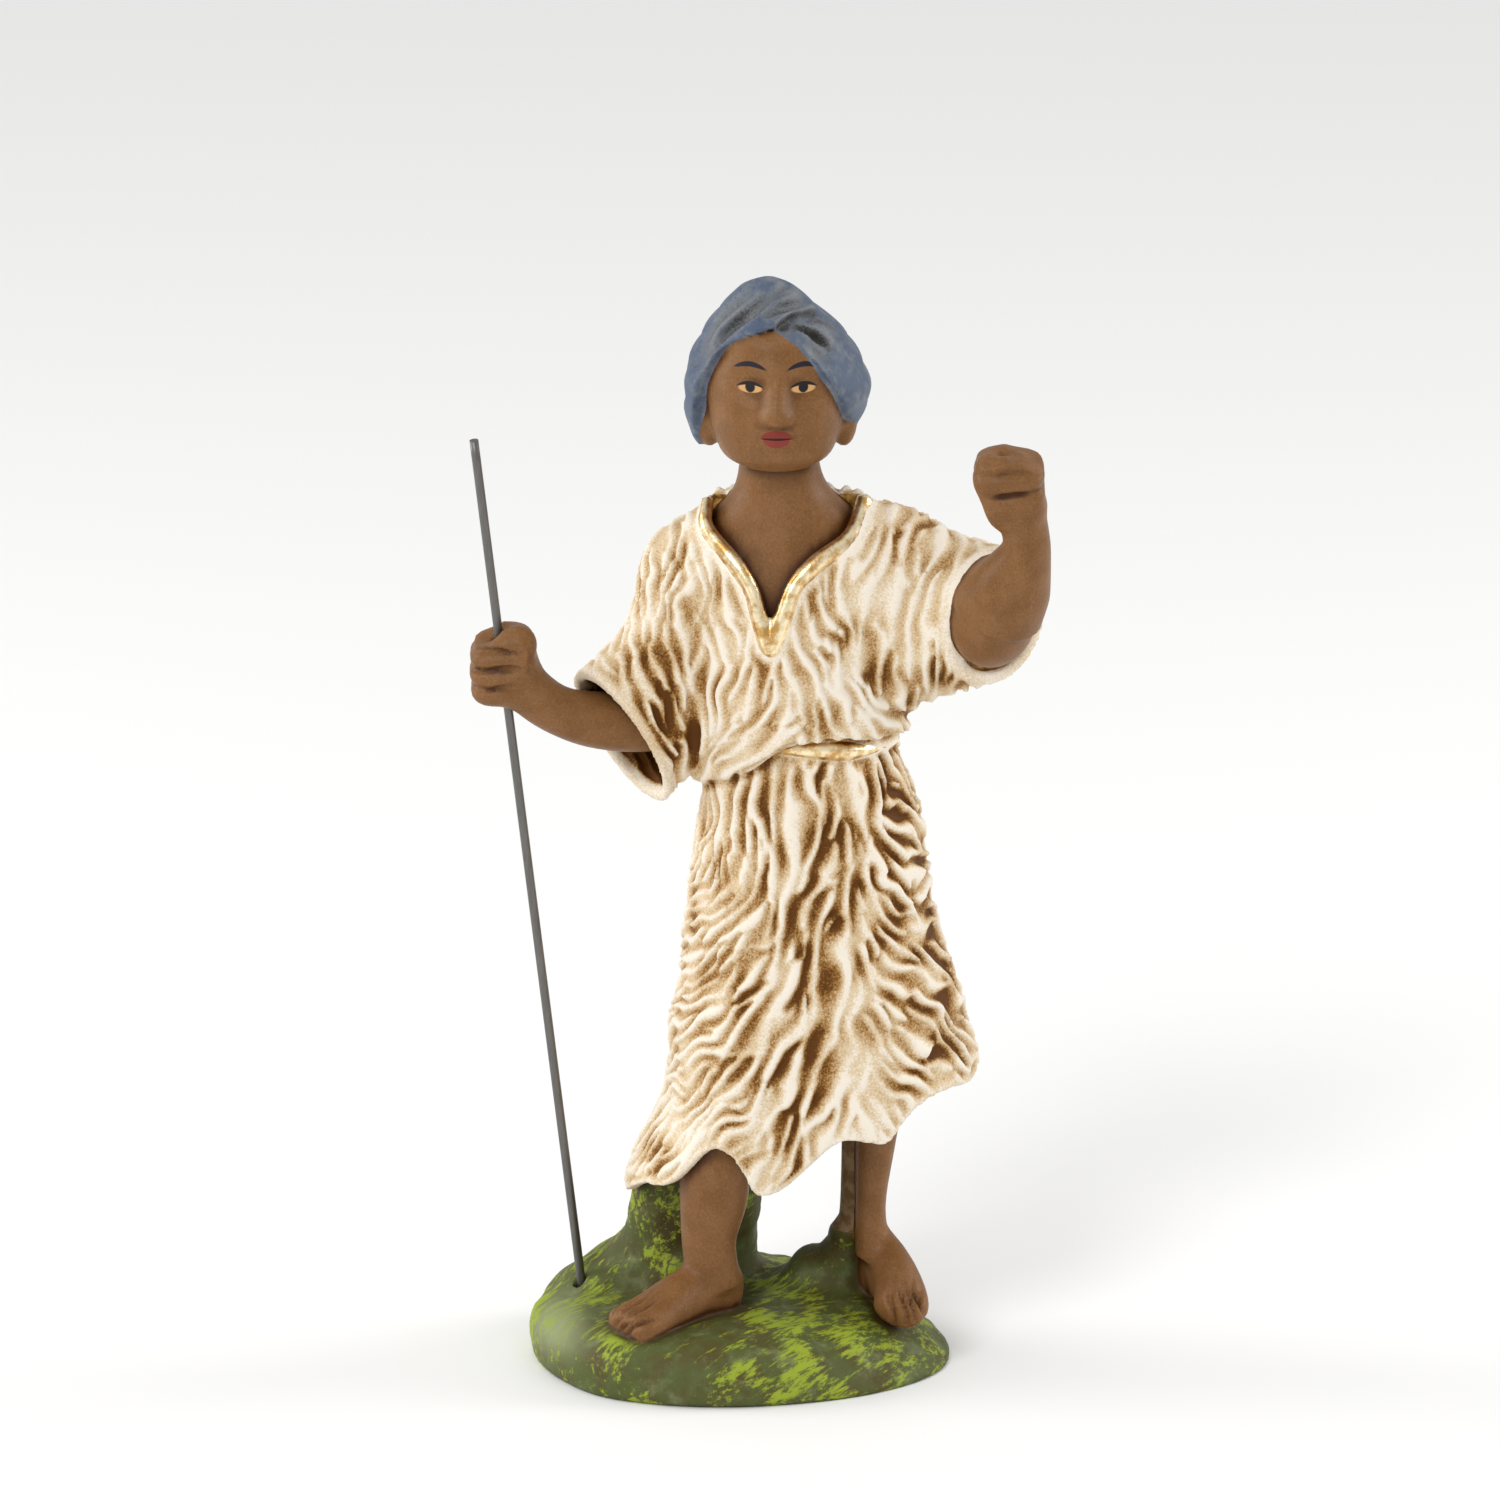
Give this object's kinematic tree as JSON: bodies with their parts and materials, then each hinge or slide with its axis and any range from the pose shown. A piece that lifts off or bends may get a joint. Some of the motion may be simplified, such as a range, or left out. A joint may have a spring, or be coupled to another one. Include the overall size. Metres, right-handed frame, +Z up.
{
  "type": "nativity figure",
  "caption": "Painted nativity scene figure: an animal driver in a fleece tunic and turban, barefoot on a grassy mound, with a raised fist and a loose wire staff.",
  "frame": {"origin": "centre of the mound's flat underside", "axes": "+Z up, +X to the viewer's right as the figure faces the viewer, +Y away from the viewer, so the figure faces -Y"},
  "size_m": [0.0645, 0.0422, 0.1245],
  "materials": {
    "paint": "hand painted, matt to satin, on a cast composition body",
    "wire": "bare drawn steel wire, dull"
  },
  "bodies": {
    "root": {"figure": "paint", "staff": "wire"}
  },
  "joints": []
}
